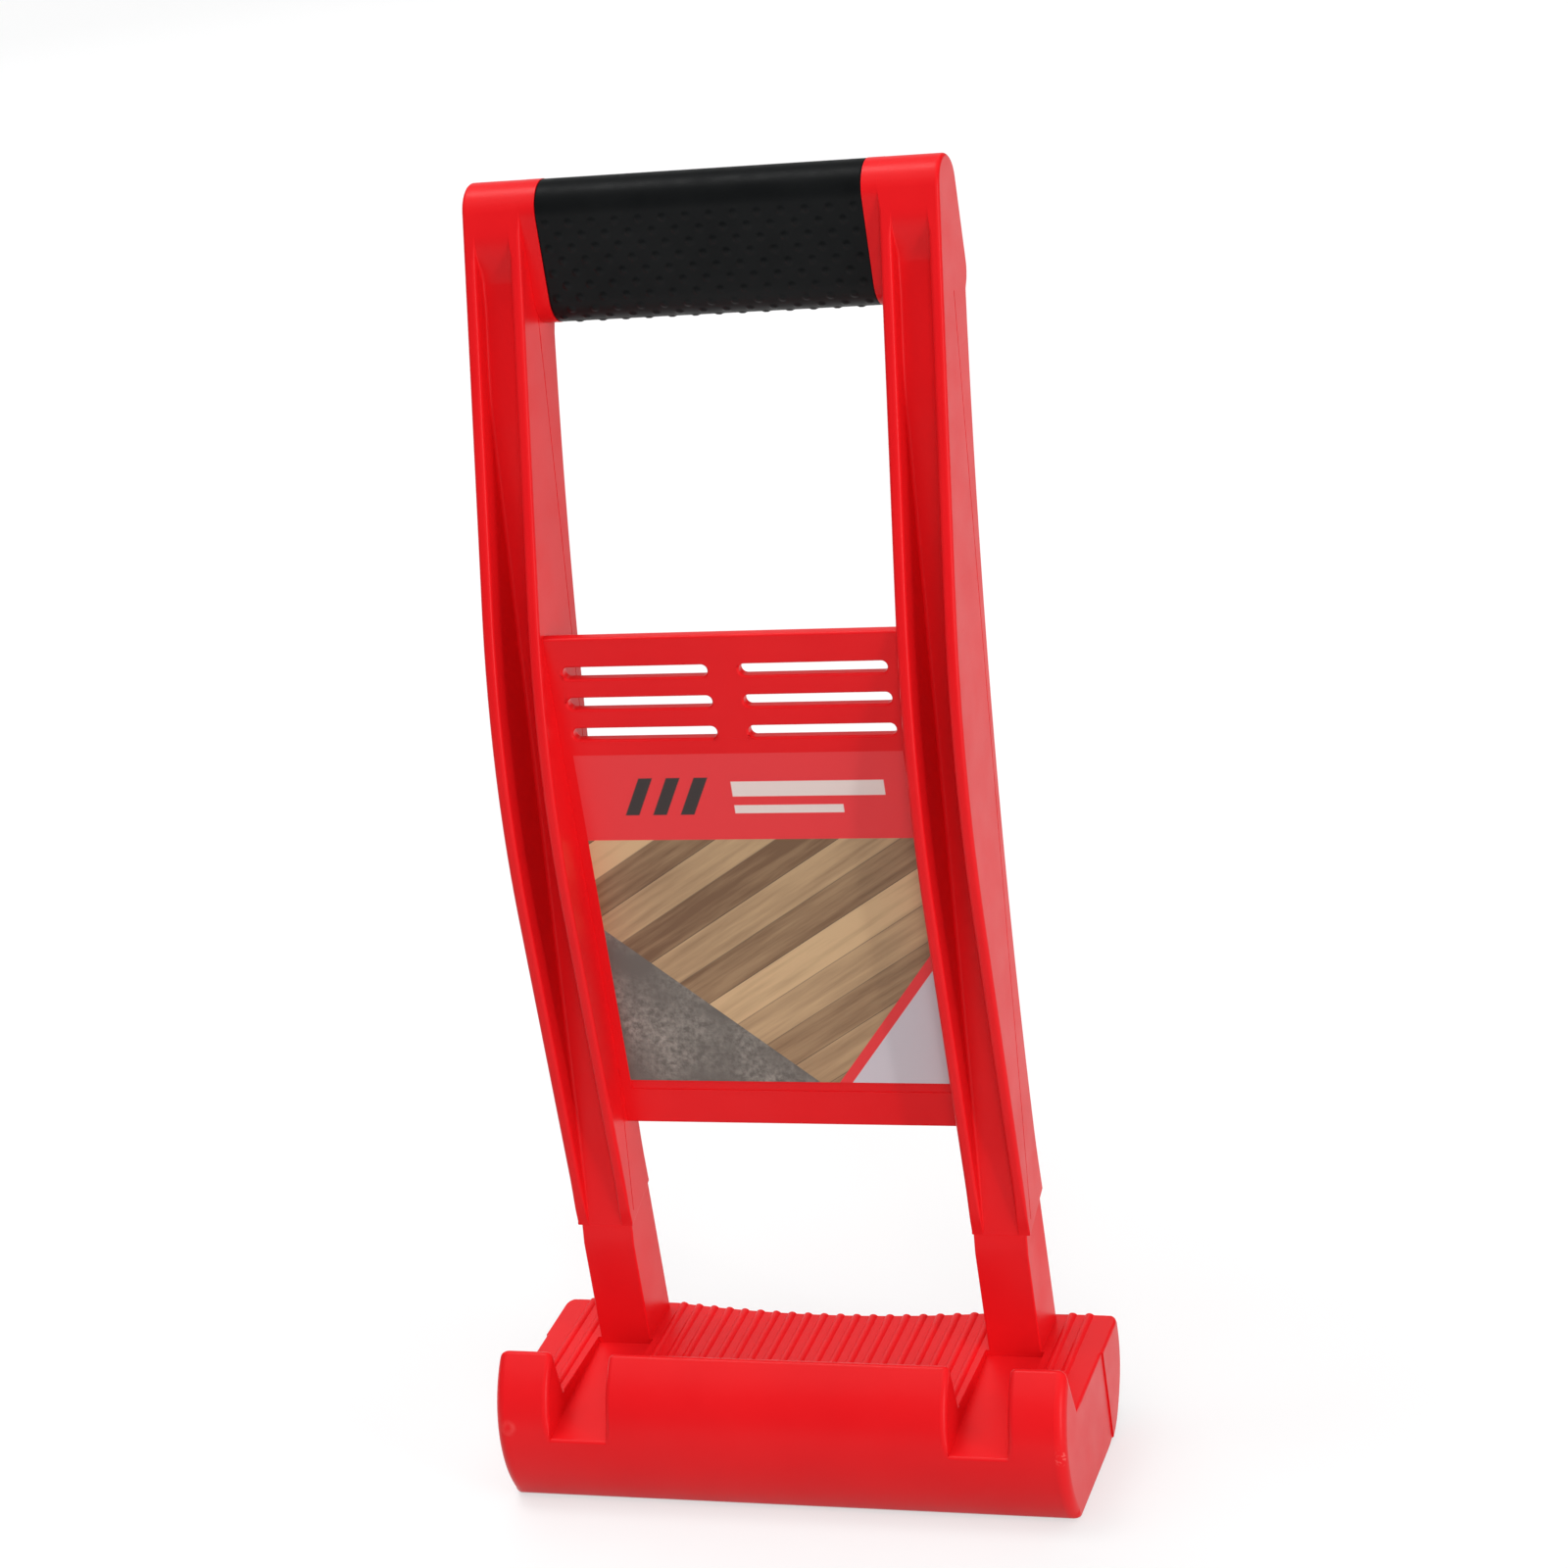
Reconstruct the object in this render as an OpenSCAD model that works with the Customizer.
// Panel carrier for boards and sheets: red moulded frame, rubber grip and label.
// Millimetres. +Z is up, the lip faces -Y, X = 0 is the plane of symmetry.
// Side views are drawn with y to the right, z up and y = 0 at the back of the two posts.
// place() then moves each piece so that the origin lies under the middle of the carrier.

/* [Foot] */
// width of the foot over its end faces
foot_w = 160; // [150:1:200]
// height of the ledge that carries the board
ledge_h = 27.6; // [24:0.2:32]
// depth of the ledge in front of the back of the posts
ledge_d = 45; // [40:0.5:60]
// how far the ledge reaches behind the posts
foot_back = 2; // [0.5:0.5:5]
// hollow of the ledge's back edge between the posts
back_hollow = 4.2; // [1:0.2:8]
// radius of the round lower back of the end walls
heel_r = 25; // [12:0.5:26]
// radius of the rounded lower front
toe_r = 4; // [2:0.5:6]
// wall thickness of the foot
foot_wall = 3.4; // [2.4:0.2:4]
// thickness of the ribs inside the foot
rib_t = 2.6; // [1.6:0.2:3.2]
// how far the rear of each end wall stands out past its front
end_step = 0.6; // [0.2:0.1:1.5]
// place of that step in front of the back of the posts
end_seam = 16.4; // [10:0.2:25]
// radius of the ledge's two back corners
back_corner_r = 2.5; // [1:0.1:3]

/* [Lip] */
// depth of the lip from its inner foot to its front
lip_d = 15.5; // [13:0.5:18]
// height of the lip above the ledge
lip_h = 14; // [9:0.2:17]
// radius of the round front
lip_r = 31; // [28:0.5:36]
// slope of the inner face in degrees
lip_lean = 9.6; // [4:0.2:14]
// radius of the rounded edge
lip_edge_r = 1.5; // [1:0.1:2]
// radius of the lip's upper corners beside the notches and at the ends
tab_r = 2.3; // [1:0.1:4]

/* [Ledge ridges] */
// distance between ridges
ridge_pitch = 4.7; // [4:0.1:7]
// radius of a ridge's round top
ridge_r = 1.5; // [1:0.1:2]
// how far a ridge stands out of the ledge
ridge_h = 0.6; // [0.3:0.1:0.8]
// distance of the first outer ridge from the notch
ridge_side = 3.3; // [2.5:0.1:5]
// most ridges outside each post
ridges_out = 2; // [0:1:3]

/* [Notches] */
// width of the two notches in line with the posts
notch_w = 16.3; // [13:0.1:18]
// depth of a notch below the ledge where it leaves the post
notch_back = 1.8; // [1:0.1:2.6]
// depth of a notch below the ledge at the front of the lip
notch_front = 6.3; // [4:0.1:8]

/* [Posts] */
// height of a post above the ledge, at its back
post_h = 40; // [30:0.2:50]
// width of a post
post_w = 14.7; // [12:0.1:15.2]
// depth of a post
post_d = 17.3; // [15:0.1:20]
// how far the rail's inner side stands in past the post
post_step = 0.3; // [0:0.1:0.8]
// slope of the joint between post and rail in degrees, falling to the front
joint_slope = 17; // [4:1:20]
// height of the shoulder at the top of a post's front, which leads into the rail's channel
shoulder_h = 5; // [2:0.5:14]

/* [Rails] */
// distance of a rail's outer side from the end of the foot
rail_inset = 15.75; // [12:0.25:18]
// width of one rail
rail_w = 16; // [15.5:0.1:20]
// thickness of the flanges
flange_t = 3.2; // [2.6:0.1:4]
// thickness of the web between the flanges
web_t = 3.5; // [2.5:0.1:4.5]
// slope of the web in degrees
web_lean = 8; // [6:0.05:9]
// depth of the front channel where the rail ends on the post
channel_end = 1; // [0.5:0.1:3]
// height below the handle's lower round at which the web turns to the handle's front
web_drop = 24; // [15:1:30]
// height above the handle's lower round at which the web meets the handle's front
web_rise = 6; // [2:1:10]
// height of the bend in the front edge
bend_z = 200; // [194:1:215]
// distance of the unrounded bend in front of the post back
bend_y = 20; // [18:0.5:24]
// radius of the bend
bend_r = 240; // [120:5:300]
// forward lean of the front edge below the bend
lean_low = 1.4; // [0.2:0.1:2]
// height at which the hollow back edge is upright
back_z = 52; // [40:1:60]
// width of the parting line on the rail sides
parting_w = 0.4; // [0.2:0.1:0.8]
// slope of the parting line in degrees
parting_lean = 9.6; // [8:0.1:11]

/* [Handle] */
// height of the carrier without the rubber
height = 343; // [330:1:360]
// height of the handle's section
handle_h = 38; // [32:1:44]
// depth of the handle's section
handle_d = 16; // [13:0.5:20]
// back of the handle behind the posts
handle_back = 41.8; // [38:0.2:46]
// length of the red collar on each side of the grip
collar_l = 4.25; // [2:0.25:10]
// thickness of the grip's rubber
grip_t = 3; // [1.5:0.5:4]
// how far the rubber stands proud of the red collars
grip_proud = 0.2; // [0.1:0.1:1]

/* [Cross plate] */
// height of the plate's lower edge
plate_low = 90; // [78:1:110]
// height of the plate's upper edge
plate_top = 232; // [222:1:236]
// distance of the plate's face in front of the post back
plate_face = 7.2; // [5:0.1:9]
// thickness of the plate
plate_t = 3.4; // [2.4:0.1:5]
// height of one slot
slot_h = 3.2; // [2:0.1:5]
// distance between slot rows
slot_pitch = 8.6; // [6:0.1:9]
// rows of slots
slot_rows = 3; // [1:1:3]
// gap between the two columns of slots
slot_gap = 8.6; // [5:0.1:14]
// gap between the slots and the rails
slot_side = 4; // [2:0.5:10]
// distance of the top slot row below the plate's upper edge
slot_drop = 9.8; // [7:0.1:12]

/* [Label] */
// gap between the label and the rails
label_side = 3; // [2:0.5:10]
// height of the label's lower edge above the plate's lower edge
label_up = 13; // [6:1:30]
// distance of the label's upper edge below the plate's upper edge
label_drop = 33; // [31:1:50]
// thickness of the label and depth of its recess
label_t = 0.3; // [0.2:0.1:0.5]
// how far the recess goes on below the label
recess_gap = 2.8; // [0:0.1:5]

/* [Hidden] */
$fn = 96;

red = [0.80, 0.05, 0.06];
black = [0.07, 0.08, 0.08];
paper = [0.85, 0.80, 0.72];
// a length past every face that a cut has to clear
clear = 80;
// a little way past a face, for a cut that starts at it
past = 1;
// times a corner's radius, a length past the corner's tip
corner_reach = 3;

rail_out = foot_w / 2 - rail_inset;
rail_in = rail_out - rail_w;
post_in = rail_in + post_step;
post_out = post_in + post_w;
grip_end = rail_in - collar_l;

// foot: the edge circle touches the lip's inner face, and the disc of the front touches the circle
end_in = foot_w / 2 - foot_wall;
foot_front = ledge_d + lip_d;
lip_top = ledge_h + lip_h;
inner_u = [-sin(lip_lean), cos(lip_lean)];
inner_n = [cos(lip_lean), sin(lip_lean)];
edge_low = [-ledge_d, ledge_h] - lip_edge_r * inner_n;
edge = edge_low + (lip_top - lip_edge_r - edge_low[1]) / cos(lip_lean) * inner_u;
disc_y = lip_r - foot_front;
disc = [disc_y, edge[1] - sqrt(pow(lip_r - lip_edge_r, 2) - pow(edge[0] - disc_y, 2))];
edge_u = (edge - disc) / (lip_r - lip_edge_r);
toe = [disc_y - sqrt(pow(lip_r - toe_r, 2) - pow(disc[1] - toe_r, 2)), toe_r];
toe_u = (toe - disc) / (lip_r - toe_r);
tread_z = ledge_h - foot_wall;
heel = min(heel_r, tread_z);
notch_x = (post_in + post_out - notch_w) / 2;
gutter_z = ledge_h - notch_front - foot_wall;

// handle: an upright section with round ends
head_r = handle_d / 2;
head_z = height - head_r;
handle_y = handle_back - head_r;
handle_front = handle_back - handle_d;
handle_low = height - handle_h + head_r;

// rail: the upper front edge touches the handle's round top
head_d = norm([handle_y + bend_y, head_z - bend_z]);
lean_up = atan((handle_y + bend_y) / (head_z - bend_z)) - asin(head_r / head_d);
bend = [-bend_y, bend_z];
low_u = [sin(lean_low), -cos(lean_low)];
up_u = [sin(lean_up), cos(lean_up)];
bend_t = bend_r * tan((lean_low + lean_up) / 2);
bend_a = bend + bend_t * low_u;
bend_b = bend + bend_t * up_u;
bend_c = bend_a + bend_r * [cos(lean_low), sin(lean_low)];
front_low = bend + (bend_z - ledge_h) / cos(lean_low) * low_u;
front_up = bend + sqrt(head_d * head_d - head_r * head_r) * up_u;
back_dz = handle_low + head_r / 2 - back_z;
back_r = (back_dz * back_dz + handle_back * handle_back) / (2 * handle_back);

// web: straight up to the turn, then over to the handle's front
joint_z = ledge_h + post_h;
joint_front = joint_z - post_d * tan(joint_slope);
web_y = channel_end - post_d;
web_turn = handle_low - web_drop;
web_turn_y = web_y + (web_turn - joint_front) * tan(web_lean);
web_head = handle_low + web_rise;

place_y = (foot_front - handle_back - grip_proud) / 2;

// moves a piece from the side view's origin to the carrier's own
module place() translate([0, place_y, 0]) children();

// pushes a side view out from x0 to x1
module along_x(x0, x1) translate([x0, 0, 0]) rotate([90, 0, 90]) linear_extrude(x1 - x0) children();

// keeps a right-hand piece or turns it into the left-hand one
module side(right) if (right) children(); else mirror([1, 0, 0]) children();

// what a round of radius r takes off a corner of a side view, between two directions
module corner_cut(centre, r, u0, u1) difference() {
    reach = corner_reach * r;
    polygon([centre, centre + reach * u0, centre + reach * (u0 + u1), centre + reach * u1]);
    translate(centre) circle(r = r, $fn = 360);
}

// side view of the handle, smaller all round by inset
module handle_section(inset) {
    translate([handle_y, head_z]) circle(r = head_r - inset);
    translate([handle_y, handle_low]) circle(r = head_r - inset);
    translate([handle_front + inset, handle_low]) square([handle_d - 2 * inset, head_z - handle_low]);
}

// side view of all that lies under the sloping joint between post and rail
module below_joint() polygon([[-clear, joint_z - clear * tan(joint_slope)],
    [clear, joint_z + clear * tan(joint_slope)], [clear, 0], [-clear, 0]]);

// side view of a flange: bowed front, hollow back, round head
module flange_view() difference() {
    union() {
        difference() {
            polygon([front_low, bend, front_up, [handle_back, head_z], [handle_back, ledge_h]]);
            corner_cut(bend_c, bend_r, (bend_a - bend_c) / bend_r, (bend_b - bend_c) / bend_r);
            translate([back_r, back_z]) circle(r = back_r, $fn = 360);
        }
        handle_section(0);
    }
    below_joint();
}

// side view of the web between the flanges
module web_view() difference() {
    polygon([[web_y - joint_front * tan(web_lean), 0], [web_turn_y, web_turn], [handle_front, web_head],
        [handle_y, web_head], [handle_y, handle_low], [web_turn_y + web_t, web_turn],
        [web_y - joint_front * tan(web_lean) + web_t, 0]]);
    below_joint();
}

// fine parting line along a rail side at x
module parting(x) translate([x, web_y + web_t / 2, joint_front]) rotate([-parting_lean, 0, 0])
    translate([-parting_w / 2, 0, 0]) cube([parting_w, parting_w, handle_low - joint_front]);

// rail: two bowed flanges on a straight web, one piece with the head
module rail(right) color(red) place() side(right) difference() {
    union() {
        along_x(rail_in, rail_in + flange_t) flange_view();
        along_x(rail_out - flange_t, rail_out) flange_view();
        along_x(rail_in + flange_t, rail_out - flange_t) {
            web_view();
            handle_section(0);
        }
    }
    parting(rail_in);
    parting(rail_out);
}

module left_rail() rail(false);

module right_rail() rail(true);

// post: plain front and sides, open at the back
module post(right) color(red) place() side(right) difference() {
    along_x(post_in, post_out) polygon([[-post_d, ledge_h], [-post_d, joint_front - shoulder_h],
        [web_y, joint_z + web_y * tan(joint_slope)], [0, joint_z], [0, ledge_h]]);
    translate([post_in + flange_t, -post_d + flange_t, ledge_h - past])
        cube([post_w - 2 * flange_t, post_d, joint_z]);
}

module left_post() post(false);

module right_post() post(true);

// handle bar: full section at the collars, narrower under the rubber
module handle_bar() color(red) place() {
    along_x(-rail_in, -grip_end) handle_section(0);
    along_x(-grip_end, grip_end) handle_section(grip_t);
    along_x(grip_end, rail_in) handle_section(0);
}

// rubber sleeve moulded over the bar
module grip_sleeve() color(black) place() along_x(-grip_end, grip_end) difference() {
    handle_section(-grip_proud);
    handle_section(grip_t);
}

// one slot with round ends, standing through the plate
module slot(x0, x1, z) {
    r = slot_h / 2;
    for (x = [x0 + r, x1 - r]) translate([x, 0, z]) rotate([90, 0, 0]) cylinder(r = r, h = clear);
    translate([x0 + r, -clear, z - r]) cube([x1 - x0 - slot_h, clear, slot_h]);
}

// flat plate between the rails with two columns of slots and a recess for the label
module cross_plate() color(red) place() difference() {
    translate([-rail_in, -plate_face, plate_low])
        cube([2 * rail_in, plate_t, plate_top - plate_low]);
    for (row = [0 : slot_rows - 1], right = [false, true])
        side(right) slot(slot_gap / 2, rail_in - slot_side, plate_top - slot_drop - row * slot_pitch);
    label_block(recess_gap);
}

// the label's own space, made longer at its lower end by more
module label_block(more) translate([-rail_in + label_side, -plate_face, plate_low + label_up - more])
    cube([2 * (rail_in - label_side), label_t, plate_top - label_drop - plate_low - label_up + more]);

module label() color(paper) place() label_block(0);

// side view of the whole foot: round lip, ledge, round heel
module foot_view() difference() {
    union() {
        intersection() {
            translate(disc) circle(r = lip_r, $fn = 180);
            polygon([[-clear, 0], [-ledge_d, 0], [-ledge_d, ledge_h],
                [-ledge_d, ledge_h] + clear * inner_u, [-clear, ledge_h + clear]]);
        }
        translate([-ledge_d, 0]) square([ledge_d + foot_back, ledge_h]);
    }
    corner_cut(edge, lip_edge_r, inner_n, edge_u);
    corner_cut(toe, toe_r, [0, -1], toe_u);
    corner_cut([foot_back - heel, heel], heel, [0, -1], [1, 0]);
}

// side view of the hollow between front wall, tread and floor
module hollow_view() intersection() {
    translate(disc) circle(r = lip_r - foot_wall, $fn = 180);
    translate([-foot_front, foot_wall]) square([clear, tread_z - foot_wall]);
}

// ramped cut that leads from the post out through the lip
module notch(right) side(right) along_x(notch_x, notch_x + notch_w) polygon([[-post_d, ledge_h - notch_back],
    [-foot_front - past, ledge_h - notch_front], [-foot_front - past, clear], [-post_d, clear]]);

// what a rounded upper corner takes off the lip at x, with the lip on the side of smaller x if s is 1
module tab_corner(x, r, s) translate([0, -ledge_d, 0]) rotate([90, 0, 0]) linear_extrude(lip_d + past)
    corner_cut([x - s * r, lip_top - r], r, [s, 0], [0, 1]);

// thickening that closes a notch from below
module gutter(y0, y1) for (right = [false, true]) side(right)
    translate([notch_x - foot_wall, y0, gutter_z])
        cube([notch_w + 2 * foot_wall, y1 - y0, tread_z - gutter_z]);

// ridged ledge that the board stands on
module foot_tread() color(red) place() difference() {
    union() {
        translate([-end_in, -ledge_d, tread_z]) cube([2 * end_in, ledge_d + foot_back, foot_wall]);
        gutter(-ledge_d, -post_d + foot_wall);
        ridges();
    }
    notch(false);
    notch(true);
    hollow_back();
}

// ridges between the posts and a few outside them
module ridges() {
    inner = floor((notch_x - ridge_r) / ridge_pitch - 0.5);
    first = notch_x + notch_w + ridge_side;
    outer = min(ridges_out, floor((end_in - first - ridge_r) / ridge_pitch) + 1);
    for (k = [0 : inner], s = [-1, 1]) ridge(s * (k + 0.5) * ridge_pitch);
    for (k = [0 : 1 : outer - 1], s = [-1, 1]) ridge(s * (first + k * ridge_pitch));
}

// one ridge, running front to back
module ridge(x) translate([x, -ledge_d, ledge_h + ridge_h - ridge_r]) rotate([-90, 0, 0])
    cylinder(r = ridge_r, h = ledge_d + foot_back, $fn = 32);

// concave back edge of the ledge between the posts
module hollow_back() {
    r = (rail_in * rail_in + back_hollow * back_hollow) / (2 * back_hollow);
    translate([0, r + foot_back - back_hollow, 0]) cylinder(r = r, h = clear, $fn = 360);
}

// front wall with the lip, cut by the two notches
module front_lip() color(red) place() difference() {
    union() {
        along_x(-end_in, end_in) difference() {
            foot_view();
            hollow_view();
            translate([-ledge_d, 0]) square([clear, clear]);
            translate([toe[0], 0]) square([clear, foot_wall]);
        }
        intersection() {
            gutter(-foot_front, -ledge_d);
            along_x(-end_in, end_in) foot_view();
        }
    }
    for (right = [false, true]) side(right) {
        notch(true);
        tab_corner(notch_x, tab_r, 1);
        tab_corner(notch_x + notch_w, tab_r, -1);
    }
}

// flat underside
module foot_floor() color(red) place() translate([-end_in, toe[0], 0])
    cube([2 * end_in, foot_back - heel - toe[0], foot_wall]);

// end wall: the rear stands out a little past the front
module end_wall(right) color(red) place() side(right) difference() {
    along_x(end_in, foot_w / 2) foot_view();
    translate([foot_w / 2 - end_step, -end_seam - clear, 0]) cube([clear, clear, clear]);
    tab_corner(foot_w / 2 - end_step, min(tab_r, foot_wall - end_step), 1);
    linear_extrude(clear) corner_cut([foot_w / 2 - back_corner_r, foot_back - back_corner_r], back_corner_r,
        [1, 0], [0, 1]);
}

module left_end_wall() end_wall(false);

module right_end_wall() end_wall(true);

// upright ribs inside the foot: one under each post side and three between
module foot_ribs() color(red) place() difference() {
    for (x = [-post_out, -post_in - rib_t, -(rail_in + rib_t) / 2, -rib_t / 2, (rail_in - rib_t) / 2,
            post_in, post_out - rib_t])
        along_x(x, x + rib_t) intersection() {
            foot_view();
            union() {
                hollow_view();
                translate([disc_y, foot_wall]) square([clear, tread_z - foot_wall]);
            }
        }
    gutter(-foot_front, -post_d + foot_wall);
    hollow_back();
}

left_rail();
right_rail();
left_post();
right_post();
handle_bar();
grip_sleeve();
cross_plate();
label();
foot_tread();
front_lip();
foot_floor();
left_end_wall();
right_end_wall();
foot_ribs();
